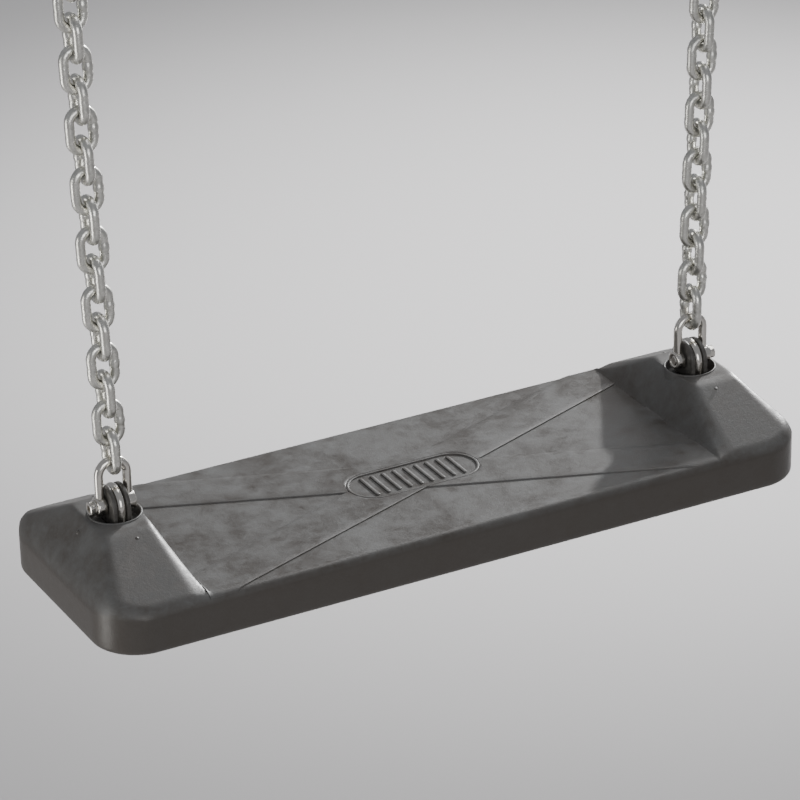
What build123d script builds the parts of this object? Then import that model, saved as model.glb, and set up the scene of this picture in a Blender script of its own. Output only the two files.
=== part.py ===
from build123d import *
from math import cos, radians, sin, sqrt
import os

# Playground swing: a moulded rubber seat board hung from two short-link chains.
# Millimetres. Origin: centre of the seat's underside. +X along the seat, +Y to its back, +Z up.
# Left is -X. The two sides are mirror images of each other.

os.makedirs("parts", exist_ok=True)

# ---- seat board
SEAT_LENGTH = 480.0
SEAT_DEPTH = 158.0
SLAB_HEIGHT = 28.0
CORNER_RADIUS = 30.0
TOP_EDGE_RADIUS = 6.0
BOTTOM_EDGE_RADIUS = 4.0

# ---- hip-shaped shoulder at each end of the board
SHOULDER_HEIGHT = 55.0
SHOULDER_LENGTH = 66.0
EYE_FROM_END = 40.0
PLATEAU_FROM_END = 21.0
PLATEAU_LENGTH = 33.5
PLATEAU_DEPTH = 49.0
RIDGE_RADIUS = 14.0
PLATEAU_EDGE_RADIUS = 5.0

# ---- cup in each shoulder
CUP_RADIUS = 15.3
CUP_DEPTH = 6.5
LIP_HEIGHT = 0.8
LIP_WIDTH = 1.6

# ---- raised grip pattern on the top face
RELIEF_HEIGHT = 0.8
OVAL_LENGTH = 89.0
OVAL_WIDTH = 35.0
OVAL_RIM = 2.0
ARM_NOTCH_X = 47.0
ARM_NOTCH_Y = 18.0
ARM_INNER_SLOPE = 0.385
ARM_OUTER_SLOPE = 0.376
GRIP_RIB_COUNT = 9
GRIP_RIB_PITCH = 7.6
GRIP_RIB_WIDTH = 2.6
DOT_RADIUS = 1.7
DOT_HEIGHT = 0.4
DOT_DROP = 6.5

# ---- underside
PANEL_FROM_END = 90.0
PANEL_FROM_SIDE = 24.0
PANEL_RECESS = 1.5
PLUG_THICKNESS = 4.0
POCKET_RADIUS = 12.5

# ---- metal plate moulded into the board
PLATE_FROM_END = 22.0
PLATE_FROM_SIDE = 29.0
PLATE_THICKNESS = 3.0
PLATE_BOTTOM = 17.0
PLATE_CORNER = 15.0

# ---- shackle pin and what turns on it
PIN_RADIUS = 3.0
PIN_ABOVE_SHOULDER = 6.5
PIN_RUNNING_GAP = 0.05
PIN_HOLE_GAP = 0.15
COLLAR_RADIUS = 4.7
COLLAR_LENGTH = 1.4
HEAD_FLATS = 8.0
HEAD_LENGTH = 2.9
SOCKET_FLATS = 4.0
SOCKET_DEPTH = 2.2

# ---- round eye on its shank
EYE_BAR_RADIUS = 2.9
EYE_OUTER_RADIUS = 12.5
EYE_NECK_RADIUS = 2.5
SHANK_RADIUS = 5.0
SHANK_BOTTOM = 5.4
SHANK_SHOULDER_RADIUS = 8.0
SHANK_SHOULDER_HEIGHT = 3.0
SEATED_GAP = 0.1
WASHER_RADIUS = 11.0
WASHER_THICKNESS = 1.6
NUT_FLATS = 17.0
NUT_HEIGHT = 8.0

# ---- flanged bush halves between eye and shackle
BUSH_FLANGE_RADIUS = 12.0
BUSH_FLANGE_THICKNESS = 2.8
BUSH_SLEEVE_RADIUS = 6.5

# ---- shackle
SHACKLE_BAR_RADIUS = 2.75
SHACKLE_SIDE_GAP = 0.5
SHACKLE_HEIGHT = 28.25
BOSS_RADIUS = 6.0

# ---- chain
WIRE_RADIUS = 3.0
LINK_INSIDE_WIDTH = 8.4
LINK_INSIDE_LENGTH = 18.8
LINK_GAP = 0.3
LINKS_PER_SIDE = 17
CHAIN_LEAN = 1.9  # degrees outward, because the beam's brackets are wider apart than the eyes
WELD_SWELL = 0.35
WELD_LENGTH = 4.6

# ---- beam bracket
BRACKET_LENGTH = 80.0
BRACKET_DEPTH = 60.0
BRACKET_THICKNESS = 8.0
BRACKET_CORNER = 8.0
BOLT_SPACING_X = 56.0
BOLT_SPACING_Y = 36.0
BOLT_HOLE_RADIUS = 4.5
LUG_WIDTH = 26.0
LUG_DROP = 20.0
WELD_BEAD = 4.0
BEAD_TOE = 0.6
PLATE_CHAMFER = 1.0

# ---- worked-out positions
SIDES = {"left": -1, "right": 1}
EYE_X = SEAT_LENGTH / 2 - EYE_FROM_END
CUP_FLOOR = SHOULDER_HEIGHT - CUP_DEPTH
SHOULDER_FOOT_X = SEAT_LENGTH / 2 - SHOULDER_LENGTH
PLATEAU_OUTER_X = SEAT_LENGTH / 2 - PLATEAU_FROM_END
PLATEAU_INNER_X = PLATEAU_OUTER_X - PLATEAU_LENGTH
PIN_Z = SHOULDER_HEIGHT + PIN_ABOVE_SHOULDER
EYE_RING_RADIUS = EYE_OUTER_RADIUS - EYE_BAR_RADIUS
FLANGE_INNER_X = EYE_BAR_RADIUS + SEATED_GAP
FLANGE_OUTER_X = FLANGE_INNER_X + BUSH_FLANGE_THICKNESS
BOSS_INNER_X = FLANGE_OUTER_X + SHACKLE_SIDE_GAP
SHACKLE_LEG_X = BOSS_INNER_X + SHACKLE_BAR_RADIUS
BOSS_OUTER_X = BOSS_INNER_X + BOSS_RADIUS
LINK_BOW_RADIUS = LINK_INSIDE_WIDTH / 2 + WIRE_RADIUS
LINK_LEG_LENGTH = LINK_INSIDE_LENGTH + 2 * WIRE_RADIUS - 2 * LINK_BOW_RADIUS
LINK_PITCH = LINK_INSIDE_LENGTH - LINK_GAP
FIRST_LINK_RISE = LINK_INSIDE_LENGTH / 2 - LINK_GAP - SHACKLE_BAR_RADIUS
CHAIN_LENGTH = 2 * FIRST_LINK_RISE + (LINKS_PER_SIDE - 1) * LINK_PITCH
CHAIN_FOOT_Z = PIN_Z + SHACKLE_HEIGHT
TOP_X = EYE_X + CHAIN_LENGTH * sin(radians(CHAIN_LEAN))
TOP_PIN_Z = CHAIN_FOOT_Z + CHAIN_LENGTH * cos(radians(CHAIN_LEAN)) + SHACKLE_HEIGHT
BRACKET_Z = TOP_PIN_Z + LUG_DROP


def cylinder_x(radius, x_from, x_to):
    """Round bar along X between two X positions."""
    bar = Cylinder(radius, x_to - x_from, align=(Align.CENTER, Align.CENTER, Align.MIN))
    return Pos(x_from, 0, 0) * Rot(0, 90, 0) * bar


def cylinder_z(radius, z_from, z_to):
    """Round bar along Z between two heights."""
    bar = Cylinder(radius, z_to - z_from, align=(Align.CENTER, Align.CENTER, Align.MIN))
    return Pos(0, 0, z_from) * bar


def hexagon_x(flats, x_from, x_to):
    """Hexagonal bar along X, given its size across flats."""
    outline = Plane.YZ * RegularPolygon(flats / sqrt(3), 6)
    return Pos(x_from, 0, 0) * extrude(outline, x_to - x_from)


def half_ring(ring_radius, bar_radius):
    """Upper half of a round-bar ring standing in the XZ plane."""
    return Rot(90, 0, 0) * Torus(ring_radius, bar_radius, major_angle=180, align=None)


# ---------------------------------------------------------------- seat body
def shoulder(side):
    """Hip roof with four sloping faces and a small flat plateau, its ridges well rounded."""
    foot_centre = side * (SHOULDER_FOOT_X + SEAT_LENGTH / 2) / 2
    top_centre = side * (PLATEAU_INNER_X + PLATEAU_OUTER_X) / 2
    foot = Pos(foot_centre, 0, SLAB_HEIGHT) * Rectangle(SHOULDER_LENGTH, SEAT_DEPTH)
    plateau = Pos(top_centre, 0, SHOULDER_HEIGHT) * Rectangle(PLATEAU_LENGTH, PLATEAU_DEPTH)
    hip = loft([foot, plateau], ruled=True)
    top_faces = hip.faces().sort_by(Axis.Z)[-1]
    ridges = hip.edges() - top_faces.edges() - hip.faces().sort_by(Axis.Z)[0].edges()
    hip = fillet(ridges, RIDGE_RADIUS)
    return fillet(hip.faces().sort_by(Axis.Z)[-1].edges(), PLATEAU_EDGE_RADIUS)


def on_side_wall(edge):
    """True for an edge that lies on the board's upright side wall."""
    flat_x = SEAT_LENGTH / 2 - CORNER_RADIUS
    flat_y = SEAT_DEPTH / 2 - CORNER_RADIUS
    for place in (0.1, 0.5, 0.9):
        point = edge @ place
        beyond_x = max(abs(point.X) - flat_x, 0)
        beyond_y = max(abs(point.Y) - flat_y, 0)
        if abs(sqrt(beyond_x**2 + beyond_y**2) - CORNER_RADIUS) > 0.01:
            return False
    return True


def relief():
    """Four widening arms from the middle to the corners, and an oval pad between them."""
    arm_end_y = SEAT_DEPTH / 2 - TOP_EDGE_RADIUS
    arm_end_x = (arm_end_y - ARM_NOTCH_Y) / ARM_OUTER_SLOPE
    foot_x = SHOULDER_FOOT_X + 2.0
    corners = [
        (0, 0),
        (ARM_NOTCH_X, 0),
        (foot_x, (foot_x - ARM_NOTCH_X) * ARM_INNER_SLOPE),
        (foot_x, arm_end_y),
        (arm_end_x, arm_end_y),
        (0, ARM_NOTCH_Y),
    ]
    arm = extrude(Pos(0, 0, SLAB_HEIGHT) * make_face(Polyline(*corners, close=True)), RELIEF_HEIGHT)
    half = arm + mirror(arm, Plane.XZ)
    pad_outline = SlotOverall(OVAL_LENGTH, OVAL_WIDTH)
    pad = extrude(Pos(0, 0, SLAB_HEIGHT) * pad_outline, RELIEF_HEIGHT)
    return half + mirror(half, Plane.YZ) + pad


def grip_field():
    """Hollow inside the oval's rim with upright ribs left standing in it."""
    inner = SlotOverall(OVAL_LENGTH - 2 * OVAL_RIM, OVAL_WIDTH - 2 * OVAL_RIM)
    hollow = extrude(Pos(0, 0, SLAB_HEIGHT) * inner, RELIEF_HEIGHT)
    rib_length = OVAL_WIDTH - 5 * OVAL_RIM
    for index in range(GRIP_RIB_COUNT):
        x = (index - (GRIP_RIB_COUNT - 1) / 2) * GRIP_RIB_PITCH
        rib_outline = Pos(x, 0, SLAB_HEIGHT) * Rot(0, 0, 90) * SlotOverall(rib_length, GRIP_RIB_WIDTH)
        hollow = hollow - extrude(rib_outline, RELIEF_HEIGHT)
    return hollow


def slope_dots(side):
    """Round vent marks on the front, back and outer slope of a shoulder."""
    run_y = (SEAT_DEPTH - PLATEAU_DEPTH) / 2
    rise = SHOULDER_HEIGHT - SLAB_HEIGHT
    dot_z = SHOULDER_HEIGHT - DOT_DROP
    dot_y = PLATEAU_DEPTH / 2 + run_y * DOT_DROP / rise
    low_z = SHOULDER_HEIGHT - 2 * DOT_DROP
    low_x = PLATEAU_OUTER_X + PLATEAU_FROM_END * 2 * DOT_DROP / rise
    dots = Pos(side * EYE_X, -dot_y, dot_z) * Sphere(DOT_RADIUS)
    dots = dots + Pos(side * EYE_X, dot_y, dot_z) * Sphere(DOT_RADIUS)
    dots = dots + Pos(side * low_x, 0, low_z) * Sphere(DOT_RADIUS)
    return Pos(0, 0, DOT_HEIGHT - DOT_RADIUS) * dots


def plate_blank():
    """Outline of the moulded-in plate, full thickness."""
    length = SEAT_LENGTH - 2 * PLATE_FROM_END
    depth = SEAT_DEPTH - 2 * PLATE_FROM_SIDE
    outline = Pos(0, 0, PLATE_BOTTOM) * RectangleRounded(length, depth, PLATE_CORNER)
    return extrude(outline, PLATE_THICKNESS)


def seat_body():
    outline = RectangleRounded(SEAT_LENGTH, SEAT_DEPTH, CORNER_RADIUS)
    body = extrude(outline, SLAB_HEIGHT)
    envelope = extrude(outline, SHOULDER_HEIGHT)
    for side in SIDES.values():
        body = body + (shoulder(side) & envelope)
    rim = [edge for edge in body.edges() if edge.center().Z > SLAB_HEIGHT - 0.01 and on_side_wall(edge)]
    body = fillet(rim, TOP_EDGE_RADIUS)
    body = fillet(body.faces().sort_by(Axis.Z)[0].edges(), BOTTOM_EDGE_RADIUS)
    body = body + relief() - grip_field()
    panel_length = SEAT_LENGTH - 2 * PANEL_FROM_END
    panel_depth = SEAT_DEPTH - 2 * PANEL_FROM_SIDE
    body = body - extrude(RectangleRounded(panel_length, panel_depth, CORNER_RADIUS), PANEL_RECESS)
    body = body - plate_blank()
    shank_hole = SHANK_RADIUS + SEATED_GAP
    plate_top = PLATE_BOTTOM + PLATE_THICKNESS
    for side in SIDES.values():
        at_eye = Pos(side * EYE_X, 0, 0)
        lip = cylinder_z(CUP_RADIUS + LIP_WIDTH, SHOULDER_HEIGHT - 1, SHOULDER_HEIGHT + LIP_HEIGHT)
        lip = fillet(lip.edges().sort_by(Axis.Z)[-1], LIP_HEIGHT * 0.9)
        body = body + slope_dots(side) + at_eye * lip
        body = body - at_eye * cylinder_z(CUP_RADIUS, CUP_FLOOR, SHOULDER_HEIGHT + 2)
        body = body - at_eye * cylinder_z(shank_hole, plate_top, CUP_FLOOR)
        shoulder_top = plate_top + SHANK_SHOULDER_HEIGHT
        body = body - at_eye * cylinder_z(SHANK_SHOULDER_RADIUS + SEATED_GAP, plate_top, shoulder_top)
        body = body - at_eye * cylinder_z(POCKET_RADIUS, 0, PLATE_BOTTOM)
    return body


def insert_plate():
    plate = plate_blank()
    for side in SIDES.values():
        hole = cylinder_z(SHANK_RADIUS + SEATED_GAP, PLATE_BOTTOM, PLATE_BOTTOM + PLATE_THICKNESS)
        plate = plate - Pos(side * EYE_X, 0, 0) * hole
    return plate


# ---------------------------------------------------------------- eye and its fastening
def eye():
    """Round-bar ring on a shank that runs down through the plate; ring axis along X."""
    ring = Pos(0, 0, PIN_Z) * Rot(0, 90, 0) * Torus(EYE_RING_RADIUS, EYE_BAR_RADIUS)
    neck_top = PIN_Z - EYE_OUTER_RADIUS
    plate_top = PLATE_BOTTOM + PLATE_THICKNESS
    shank = cylinder_z(SHANK_RADIUS, SHANK_BOTTOM, neck_top - EYE_BAR_RADIUS)
    shank = chamfer(shank.edges().sort_by(Axis.Z)[0], 0.8)
    cone_height = SHANK_RADIUS - EYE_NECK_RADIUS
    cone = Cone(SHANK_RADIUS, EYE_NECK_RADIUS, cone_height, align=(Align.CENTER, Align.CENTER, Align.MIN))
    cone = Pos(0, 0, neck_top - EYE_BAR_RADIUS) * cone
    neck = cylinder_z(EYE_NECK_RADIUS, neck_top - 1, neck_top + EYE_BAR_RADIUS)
    collar = cylinder_z(SHANK_SHOULDER_RADIUS, plate_top, plate_top + SHANK_SHOULDER_HEIGHT)
    return ring + shank + cone + neck + collar


def washer():
    disc = cylinder_z(WASHER_RADIUS, PLATE_BOTTOM - WASHER_THICKNESS, PLATE_BOTTOM)
    return disc - cylinder_z(SHANK_RADIUS + SEATED_GAP, PLATE_BOTTOM - WASHER_THICKNESS, PLATE_BOTTOM)


def nut():
    top = PLATE_BOTTOM - WASHER_THICKNESS
    outline = Pos(0, 0, top - NUT_HEIGHT) * RegularPolygon(NUT_FLATS / sqrt(3), 6)
    body = extrude(outline, NUT_HEIGHT)
    return body - cylinder_z(SHANK_RADIUS + SEATED_GAP, top - NUT_HEIGHT, top)


def plug():
    disc = cylinder_z(POCKET_RADIUS - SEATED_GAP, 0, PLUG_THICKNESS)
    return chamfer(disc.edges().sort_by(Axis.Z)[0], 0.6)


def bush_halves(pin_z):
    """Two equal flanged sleeves, one from each side of the eye."""
    bore = PIN_RADIUS + PIN_RUNNING_GAP
    flange = cylinder_x(BUSH_FLANGE_RADIUS, FLANGE_INNER_X, FLANGE_OUTER_X)
    flange = fillet(flange.edges().sort_by(Axis.X)[-1], 1.0)
    half = flange + cylinder_x(BUSH_SLEEVE_RADIUS, SEATED_GAP / 2, FLANGE_INNER_X)
    half = half - cylinder_x(bore, 0, FLANGE_OUTER_X)
    return [Pos(0, 0, pin_z) * half, Pos(0, 0, pin_z) * mirror(half, Plane.YZ)]


# ---------------------------------------------------------------- shackle
def shackle_bow(pin_z, up):
    """Bent bar with a round boss on the foot of each leg. up is 1 above its pin, -1 below it."""
    leg_top = SHACKLE_HEIGHT - SHACKLE_LEG_X
    bow = Pos(0, 0, leg_top) * half_ring(SHACKLE_LEG_X, SHACKLE_BAR_RADIUS)
    for side in (-1, 1):
        bow = bow + Pos(side * SHACKLE_LEG_X, 0, 0) * cylinder_z(SHACKLE_BAR_RADIUS, 0, leg_top)
        near, far = sorted((side * BOSS_INNER_X, side * BOSS_OUTER_X))
        boss = cylinder_x(BOSS_RADIUS, near, far)
        boss = fillet(boss.edges().filter_by(GeomType.CIRCLE), 0.8)
        bow = bow + boss
    bow = bow - cylinder_x(PIN_RADIUS + PIN_HOLE_GAP, -BOSS_OUTER_X, BOSS_OUTER_X)
    if up < 0:
        bow = mirror(bow, Plane.XY)
    return Pos(0, 0, pin_z) * bow


def shackle_pin(pin_z, side):
    """Straight pin; its collar and hexagon head face away from the seat's middle."""
    head_start = BOSS_OUTER_X + COLLAR_LENGTH
    head_end = head_start + HEAD_LENGTH
    rod = cylinder_x(PIN_RADIUS, -BOSS_OUTER_X, BOSS_OUTER_X + 0.5)
    rod = chamfer(rod.edges().sort_by(Axis.X)[0], 0.5)
    collar = cylinder_x(COLLAR_RADIUS, BOSS_OUTER_X, head_start)
    collar = fillet(collar.edges().sort_by(Axis.X)[-1], 0.8)
    head = hexagon_x(HEAD_FLATS, head_start, head_end)
    head = head & cylinder_x(HEAD_FLATS * 0.56, head_start, head_end)
    pin = rod + collar + head - hexagon_x(SOCKET_FLATS, head_end - SOCKET_DEPTH, head_end)
    if side < 0:
        pin = mirror(pin, Plane.YZ)
    return Pos(0, 0, pin_z) * pin


# ---------------------------------------------------------------- chain
def chain_link():
    """Round-wire link standing in the XZ plane, with the bead of its weld on one leg."""
    upper = Pos(0, 0, LINK_LEG_LENGTH / 2) * half_ring(LINK_BOW_RADIUS, WIRE_RADIUS)
    link = upper + mirror(upper, Plane.XY)
    for side in (-1, 1):
        leg = cylinder_z(WIRE_RADIUS, -LINK_LEG_LENGTH / 2, LINK_LEG_LENGTH / 2)
        link = link + Pos(side * LINK_BOW_RADIUS, 0, 0) * leg
    bead = cylinder_z(WIRE_RADIUS + WELD_SWELL, -WELD_LENGTH / 2, WELD_LENGTH / 2)
    bead = chamfer(bead.edges().filter_by(GeomType.CIRCLE), WELD_SWELL * 0.9)
    return link + Pos(LINK_BOW_RADIUS, 0, 0) * bead


# ---------------------------------------------------------------- beam bracket
def beam_bracket():
    """Bolted plate with a hanging lug; the lug's bore takes the bush halves."""
    outline = Pos(0, 0, BRACKET_Z) * RectangleRounded(BRACKET_LENGTH, BRACKET_DEPTH, BRACKET_CORNER)
    plate = extrude(outline, BRACKET_THICKNESS)
    plate = chamfer(plate.faces().sort_by(Axis.Z)[0].edges(), PLATE_CHAMFER)
    for x in (-BOLT_SPACING_X / 2, BOLT_SPACING_X / 2):
        for y in (-BOLT_SPACING_Y / 2, BOLT_SPACING_Y / 2):
            hole = cylinder_z(BOLT_HOLE_RADIUS, BRACKET_Z, BRACKET_Z + BRACKET_THICKNESS)
            plate = plate - Pos(x, y, 0) * hole
    half_thickness = EYE_BAR_RADIUS
    web = Pos(0, 0, (TOP_PIN_Z + BRACKET_Z) / 2) * Box(2 * half_thickness, LUG_WIDTH, LUG_DROP)
    end = Pos(0, 0, TOP_PIN_Z) * cylinder_x(LUG_WIDTH / 2, -half_thickness, half_thickness)
    low = Pos(0, 0, BRACKET_Z - WELD_BEAD) * Rectangle(2 * half_thickness + BEAD_TOE, LUG_WIDTH + BEAD_TOE)
    bead_width = 2 * half_thickness + 2 * WELD_BEAD
    high = Pos(0, 0, BRACKET_Z) * Rectangle(bead_width, LUG_WIDTH + 2 * WELD_BEAD)
    bead = loft([low, high], ruled=True)
    bore = cylinder_x(BUSH_SLEEVE_RADIUS + SEATED_GAP, -half_thickness, half_thickness)
    return plate + web + end + bead - Pos(0, 0, TOP_PIN_Z) * bore


# ---------------------------------------------------------------- write every node
def write(name, shape):
    export_step(shape, f"parts/{name}.step")


write("seat_body", seat_body())
write("insert_plate", insert_plate())
link = chain_link()
for label, side in SIDES.items():
    at_side = Pos(side * EYE_X, 0, 0)
    write(f"{label}_eye", at_side * eye())
    write(f"{label}_eye_washer", at_side * washer())
    write(f"{label}_eye_nut", at_side * nut())
    write(f"{label}_underside_plug", at_side * plug())
    write(f"{label}_eye_bush_halves", Compound([at_side * half for half in bush_halves(PIN_Z)]))
    write(f"{label}_shackle_bow", at_side * shackle_bow(PIN_Z, 1))
    write(f"{label}_shackle_pin", at_side * shackle_pin(PIN_Z, side))
    chain_line = Pos(side * EYE_X, 0, CHAIN_FOOT_Z) * Rot(0, side * CHAIN_LEAN, 0)
    for number in range(1, LINKS_PER_SIDE + 1):
        along = FIRST_LINK_RISE + (number - 1) * LINK_PITCH
        turn = 90 if number % 2 else 0
        write(f"{label}_chain_link_{number:02d}", chain_line * Pos(0, 0, along) * Rot(0, 0, turn) * link)
    at_beam = Pos(side * TOP_X, 0, 0)
    write(f"{label}_top_shackle_bow", at_beam * shackle_bow(TOP_PIN_Z, -1))
    write(f"{label}_top_shackle_pin", at_beam * shackle_pin(TOP_PIN_Z, side))
    write(f"{label}_bracket_bush_halves", Compound([at_beam * half for half in bush_halves(TOP_PIN_Z)]))
    write(f"{label}_beam_bracket", at_beam * beam_bracket())
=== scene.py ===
from math import asin, cos, pi, radians, sin

import bmesh
import bpy
import numpy as np
from mathutils import Matrix, Vector


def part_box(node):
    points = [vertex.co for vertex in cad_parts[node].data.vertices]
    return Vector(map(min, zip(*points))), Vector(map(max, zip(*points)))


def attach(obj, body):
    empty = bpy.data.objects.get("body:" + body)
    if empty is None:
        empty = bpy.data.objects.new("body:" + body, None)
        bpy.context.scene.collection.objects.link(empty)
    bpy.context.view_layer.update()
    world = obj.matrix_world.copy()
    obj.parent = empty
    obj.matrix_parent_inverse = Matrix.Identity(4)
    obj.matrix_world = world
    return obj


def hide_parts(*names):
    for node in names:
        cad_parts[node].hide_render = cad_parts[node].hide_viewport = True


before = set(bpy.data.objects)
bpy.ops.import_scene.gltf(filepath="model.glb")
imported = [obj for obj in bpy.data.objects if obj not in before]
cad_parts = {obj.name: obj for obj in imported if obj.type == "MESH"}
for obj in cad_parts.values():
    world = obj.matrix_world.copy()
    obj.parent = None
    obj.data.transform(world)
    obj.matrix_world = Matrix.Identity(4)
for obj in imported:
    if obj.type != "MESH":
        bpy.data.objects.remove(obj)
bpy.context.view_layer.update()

bl_info = {
    "name": "Rubber swing seat on chains",
    "version": (1, 0, 0),
    "blender": (4, 5, 0),
    "location": "3D View > Sidebar > Swing",
    "description": "Builds the visible surfaces and finishes of a chain-hung swing seat round its frame",
    "category": "Add Mesh",
}

SIDES = {"left": -1, "right": 1}
LINKS = 17


def middle(node):
    """Centre of a frame node's box."""
    low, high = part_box(node)
    return (low + high) / 2


SEAT_LENGTH = 0.480
SEAT_DEPTH = 0.158
EYE_X = middle("right_eye").x
PIN_Z = middle("right_shackle_pin").z
TOP_X = middle("right_top_shackle_bow").x
TOP_PIN_Z = middle("right_top_shackle_pin").z
SHACKLE_HEIGHT = 0.02825  # from a shackle's pin to the bar's centre at the top of its bow
FIRST_LINK_RISE = 0.00635  # from that bar's centre to the first link's centre

# Shackle, pin, eye and bushes, which fit into each other along the pin
SHACKLE_BAR = 0.00275
SHACKLE_LEG_X = 0.00905
BOSS_INNER_X = 0.0063
BOSS_RADIUS = 0.0060
BOSS_BORE = 0.00315
BOSS_OUTER_X = BOSS_INNER_X + BOSS_RADIUS
PIN_RADIUS = 0.003
EYE_BAR = 0.0029
EYE_RADIUS = 0.0125
BUSH_BORE = 0.00305
BUSH_SLEEVE_RADIUS = 0.0065
BUSH_FLANGE_RADIUS = 0.0120
BUSH_FLANGE_INNER_X = 0.0030
BUSH_FLANGE_OUTER_X = 0.0058

# Chain link
WIRE_RADIUS = 0.003
LINK_WIDTH = 0.0204
LINK_INSIDE_LENGTH = 0.0188

# Underside
PANEL_SIZE = (0.300, 0.110)
PANEL_RECESS = 0.0015
PLUG_HOLE_RADIUS = 0.01255
PLUG_HOLE_TOP = 0.0025

# Grip pattern
OVAL_HALF_LENGTH = 0.0445
OVAL_HALF_WIDTH = 0.0175
OVAL_RIM_WIDTH = 0.0020
RIB_COUNT = 9
RIB_PITCH = 0.0076
RIB_HALF_LENGTH = 0.0125
RIB_HALF_WIDTH = 0.0013
ARM_NOTCH_X = 0.047
ARM_INNER_SLOPE = 0.385
ARM_OUTER_START = 0.018
ARM_OUTER_SLOPE = 0.376
STEP_INSET = np.array([0.0, 0.0, 0.3, 1.0])  # share of a step's width at each point of its edge
STEP_LIFT = np.array([-0.6, 0.35, 0.8, 1.0])  # share of a step's height at the same points


# ---------------------------------------------------------------- settings
def length(name, value, description):
    """A size in metres that the panel shows."""
    return bpy.props.FloatProperty(
        name=name, default=value, description=description, subtype="DISTANCE", unit="LENGTH", precision=5
    )


def turn(name, degrees, description):
    """An angle, given in degrees, that the panel shows."""
    return bpy.props.FloatProperty(
        name=name, default=radians(degrees), description=description, subtype="ANGLE", unit="ROTATION"
    )


def colour(name, value, description):
    """A linear colour that the panel shows."""
    return bpy.props.FloatVectorProperty(
        name=name, default=value, description=description, subtype="COLOR", size=3, min=0, max=1
    )


def factor(name, value, description, top=1.0):
    """A plain number from nought to a top value that the panel shows."""
    return bpy.props.FloatProperty(name=name, default=value, description=description, min=0, max=top)


class SwingBoardSettings(bpy.types.PropertyGroup):
    slab_height: length("Slab height", 0.028, "Height of the board between its shoulders")
    shoulder_height: length("Shoulder height", 0.055, "Height of the flat plateau on each shoulder")
    shoulder_length: length("Shoulder length", 0.066, "From the shoulder's inner foot to the board's end")
    plateau_from_end: length("Plateau from end", 0.021, "From the plateau's outer edge to the board's end")
    plateau_length: length("Plateau length", 0.0335, "Plateau size along the board")
    plateau_depth: length("Plateau depth", 0.049, "Plateau size across the board")
    ridge_blend: length("Ridge blend", 0.028, "How widely two neighbouring slopes run into each other")
    plateau_blend: length("Plateau blend", 0.002, "How widely the plateau runs into the slopes")
    corner_radius: length("Corner radius", 0.030, "Plan radius of the board's corners")
    rim_radius: length("Rim radius", 0.006, "Radius of the upper rim")
    sole_radius: length("Sole radius", 0.004, "Radius of the lower rim")
    cup_radius: length("Cup radius", 0.0153, "Radius of the cup round each eye")
    cup_floor: length("Cup floor", 0.0485, "Height of the cup's floor")
    lip_width: length("Lip width", 0.0013, "Width of the raised lip round each cup")
    relief: length("Relief", 0.0008, "Height of the raised grip pattern")
    rubber: colour("Rubber", (0.068, 0.059, 0.051), "Clean rubber")
    dusty: colour("Dusty rubber", (0.128, 0.130, 0.128), "Rubber where dust and rubbing have greyed it")


class SwingMetalSettings(bpy.types.PropertyGroup):
    weld_swell: length("Weld swell", 0.00035, "How far the weld stands out of a link's wire")
    dent: length("Dents", 0.00005, "Unevenness of the galvanised wire")
    zinc_light: colour("Bright zinc", (0.95, 0.94, 0.885), "Bright grains of the zinc coat")
    zinc_dark: colour("Dull zinc", (0.50, 0.495, 0.465), "Dull grains of the zinc coat")
    steel: colour("Polished steel", (0.80, 0.77, 0.72), "Shackles, pins and eyes")
    nylon: colour("Bush nylon", (0.050, 0.047, 0.043), "Flanged bush halves")


class SwingStageSettings(bpy.types.PropertyGroup):
    azimuth: turn("Azimuth", -27.668, "Camera direction about the upright axis")
    elevation: turn("Elevation", 25.658, "Camera height angle")
    roll: turn("Roll", -1.249, "Camera roll")
    lens: bpy.props.FloatProperty(name="Lens", default=178.3, description="Focal length in millimetres")
    distance: length("Distance", 2.4519, "From the camera to the point it looks at")
    aim_right: length("Aim right", -0.0085, "Looked-at point, to the right of the origin")
    aim_up: length("Aim up", 0.0720, "Looked-at point, above the origin")
    floor_drop: length("Floor drop", 0.60, "From the board down to the floor")
    floor: colour("Floor", (0.42, 0.412, 0.414), "Floor and backdrop")
    key: factor("Key light", 4.2, "Strength of the low light from behind on the right", 50)
    top: factor("Top light", 11.0, "Power of the soft light overhead", 500)
    fill: factor("Fill light", 13.0, "Power of the soft light at the front left", 500)
    side: factor("Side light", 5.2, "Power of the tall soft light on the left", 500)
    rim: factor("Rim light", 17.0, "Power of the soft light low on the right at the back", 500)
    pool: factor("Floor light", 300.0, "Power of the light on the floor", 2000)
    air: factor("Room light", 0.29, "Strength of the light from all round", 5)


# ---------------------------------------------------------------- mesh making
def grid_faces(rows, columns):
    """Quads between neighbouring rows of a grid whose last column joins its first."""
    row, column = np.meshgrid(np.arange(rows - 1), np.arange(columns), indexing="ij")
    after = (column + 1) % columns
    quads = np.stack([row * columns + column, row * columns + after,
                      (row + 1) * columns + after, (row + 1) * columns + column], axis=-1)
    return quads.reshape(-1, 4)


def join_surfaces(surfaces):
    """Several (rows, columns, 3) grids as one list of points and quads, each turned to face outwards.
    A grid's signed volume is a third of the sum of point times area over its faces."""
    points, faces, start = [], [], 0
    for surface in surfaces:
        rows, columns = surface.shape[:2]
        flat = surface.reshape(-1, 3)
        quads = grid_faces(rows, columns)
        a, b, c, d = (flat[quads[:, k]] for k in range(4))
        centre = flat.mean(0)
        volume = (np.cross(c - a, d - b) * ((a + b + c + d) / 4 - centre)).sum()
        if volume < 0:
            quads = quads[:, ::-1]
        points.append(flat)
        faces.append(quads + start)
        start += len(flat)
    return np.concatenate(points), np.concatenate(faces)


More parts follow.
